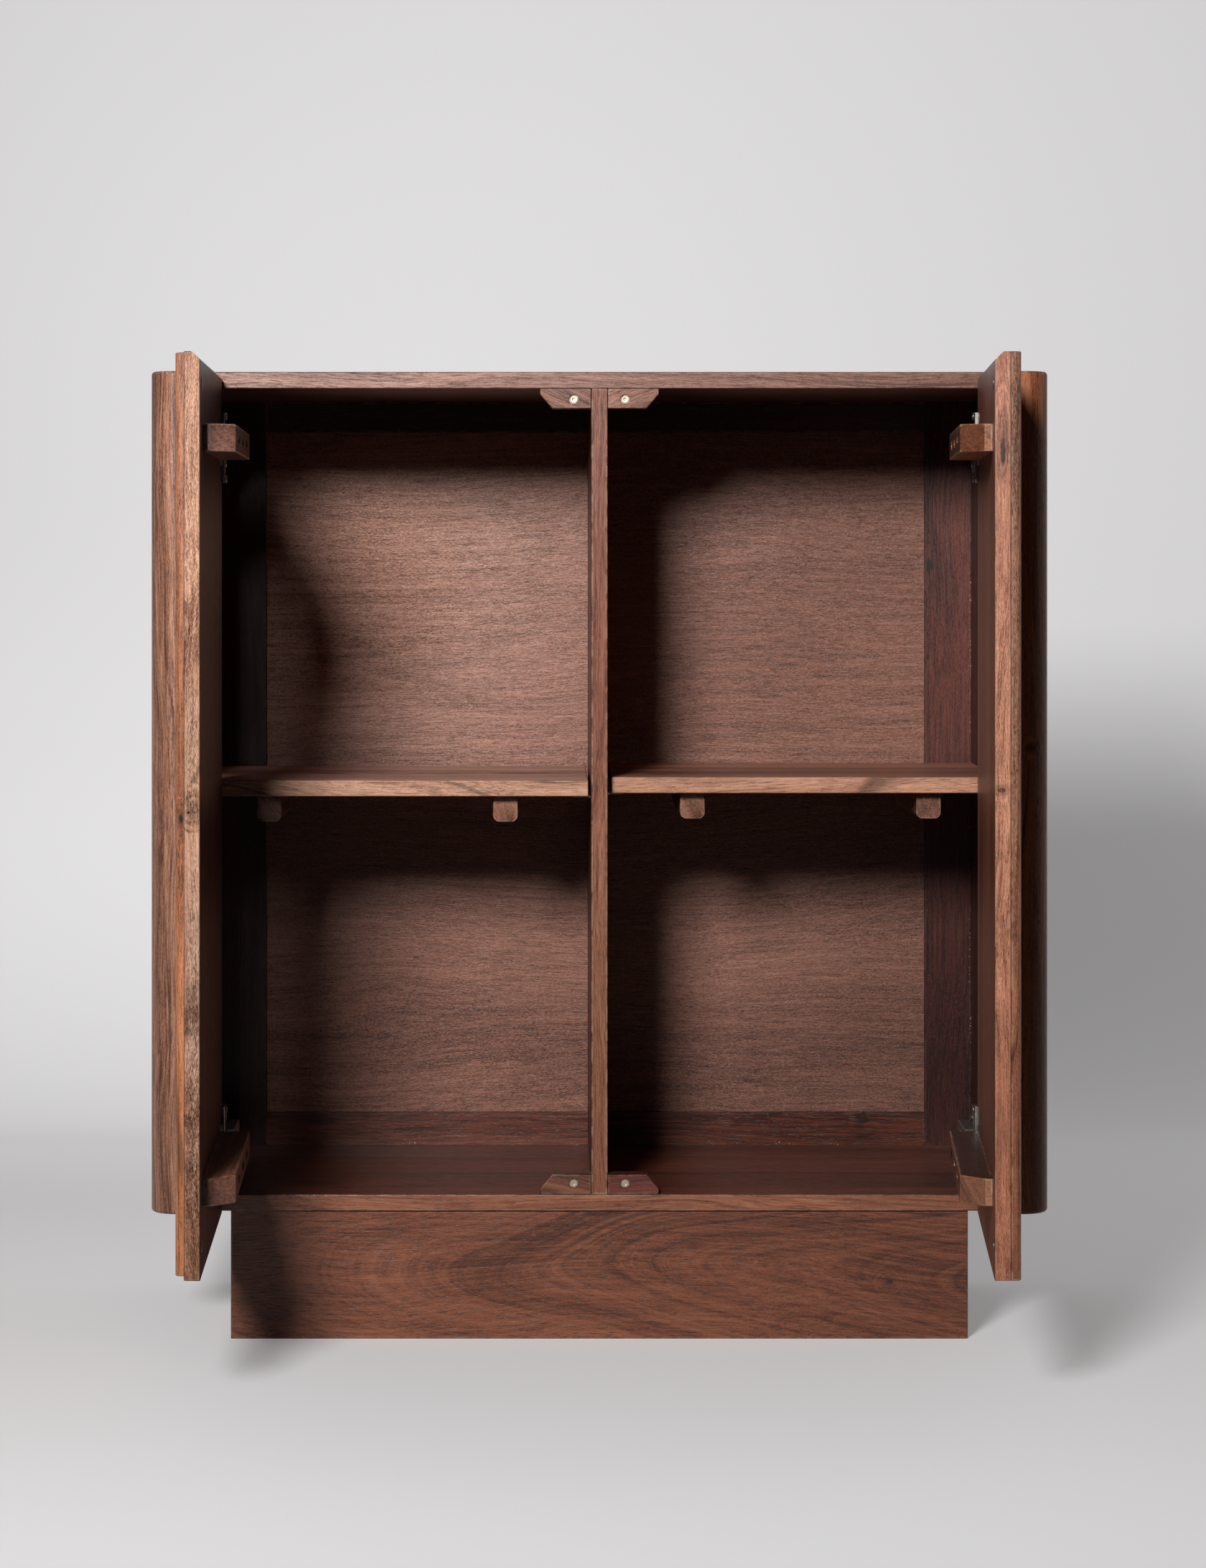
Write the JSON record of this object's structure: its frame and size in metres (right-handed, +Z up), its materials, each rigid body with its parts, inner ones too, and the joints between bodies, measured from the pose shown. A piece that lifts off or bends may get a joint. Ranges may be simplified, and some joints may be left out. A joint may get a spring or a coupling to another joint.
{
  "type": "two-door cabinet",
  "caption": "Low free-standing wooden cabinet on a recessed plinth, with rounded projecting sides, doors on concealed hinges, a centre divider and loose shelves.",
  "frame": {"origin": "on the floor, under the middle of the case", "axes": "+X to the cabinet's right as seen from the front, +Y to its back, +Z up"},
  "size_m": [0.977, 0.8532, 1.055],
  "materials": {
    "side_panel": "clear satin lacquer",
    "case_board": "clear satin lacquer",
    "back_frame": "clear satin lacquer",
    "back_ply": "clear satin lacquer",
    "plinth_board": "clear satin lacquer",
    "hidden_wood": "clear satin lacquer",
    "stop_wood": "clear satin lacquer",
    "shelf_board": "clear satin lacquer",
    "door_core_wood": "clear satin lacquer",
    "door_face_wood": "clear satin lacquer",
    "door_batten": "clear satin lacquer",
    "hinge_steel": "nickel plated, satin",
    "screw_steel": "zinc plated",
    "magnet_steel": "plated, dull"
  },
  "bodies": {
    "case": {"left_side_panel": "side_panel", "right_side_panel": "side_panel", "top_panel": "case_board", "base_panel": "case_board", "centre_divider": "case_board", "back_stile_left": "back_frame", "back_stile_right": "back_frame", "back_rail_top": "back_frame", "back_rail_bottom": "back_frame", "back_panel": "back_ply", "plinth_front": "plinth_board", "plinth_back": "plinth_board", "plinth_left_end": "plinth_board", "plinth_right_end": "plinth_board", "plinth_centre_rail": "plinth_board", "plinth_corner_blocks": "hidden_wood", "case_dowels": "hidden_wood", "hinge_blocks": "hidden_wood", "top_left_stop": "stop_wood", "top_right_stop": "stop_wood", "bottom_left_stop": "stop_wood", "bottom_right_stop": "stop_wood", "hinge_arms": "hinge_steel", "hinge_plates": "hinge_steel", "plinth_screws": "screw_steel", "hinge_plate_screws": "screw_steel", "hinge_arm_screws": "screw_steel", "hinge_arm_pins": "screw_steel", "left_shelf_pins": "screw_steel", "right_shelf_pins": "screw_steel", "catch_magnets": "magnet_steel"},
    "left_hinge_links": {"left_hinge_links": "hinge_steel"},
    "left_door": {"left_door_core": "door_core_wood", "left_door_face": "door_face_wood", "left_door_top_batten": "door_batten", "left_door_bottom_batten": "door_batten", "left_batten_screws": "screw_steel", "left_door_strikes": "screw_steel", "left_hinge_cups": "hinge_steel", "left_cup_pins": "screw_steel", "left_cup_screws": "screw_steel"},
    "left_shelf": {"left_shelf": "shelf_board", "left_shelf_outer_batten": "shelf_board", "left_shelf_inner_batten": "shelf_board"},
    "right_hinge_links": {"right_hinge_links": "hinge_steel"},
    "right_door": {"right_door_core": "door_core_wood", "right_door_face": "door_face_wood", "right_door_top_batten": "door_batten", "right_door_bottom_batten": "door_batten", "right_batten_screws": "screw_steel", "right_door_strikes": "screw_steel", "right_hinge_cups": "hinge_steel", "right_cup_pins": "screw_steel", "right_cup_screws": "screw_steel"},
    "right_shelf": {"right_shelf": "shelf_board", "right_shelf_outer_batten": "shelf_board", "right_shelf_inner_batten": "shelf_board"}
  },
  "joints": [
    {"name": "left_link_pivot", "type": "hinge", "parent": "case", "child": "left_hinge_links", "pos_m": [-0.40453, -0.18643, 0.22], "axis": [0, 0, -1], "range_deg": [-1.21, 29.48]},
    {"name": "left_door_hinge", "type": "hinge", "parent": "left_hinge_links", "child": "left_door", "pos_m": [-0.41844, -0.20892, 0.22], "axis": [0, 0, -1], "range_deg": [-117.87, 4.8]},
    {"name": "right_link_pivot", "type": "hinge", "parent": "case", "child": "right_hinge_links", "pos_m": [0.40453, -0.18643, 0.22], "axis": [0, 0, 1], "range_deg": [-1.91, 28.78]},
    {"name": "right_door_hinge", "type": "hinge", "parent": "right_hinge_links", "child": "right_door", "pos_m": [0.41871, -0.20875, 0.22], "axis": [0, 0, 1], "range_deg": [-115.07, 7.6]},
    {"name": "left_shelf_lift", "type": "slide", "parent": "case", "child": "left_shelf", "axis": [0, 0, 1], "range_m": [0, 0.04]},
    {"name": "right_shelf_lift", "type": "slide", "parent": "case", "child": "right_shelf", "axis": [0, 0, 1], "range_m": [0, 0.04]}
  ],
  "couplings": [
    {"joint": "left_link_pivot", "follows": "left_door_hinge", "ratio": -0.25},
    {"joint": "right_link_pivot", "follows": "right_door_hinge", "ratio": -0.25}
  ]
}
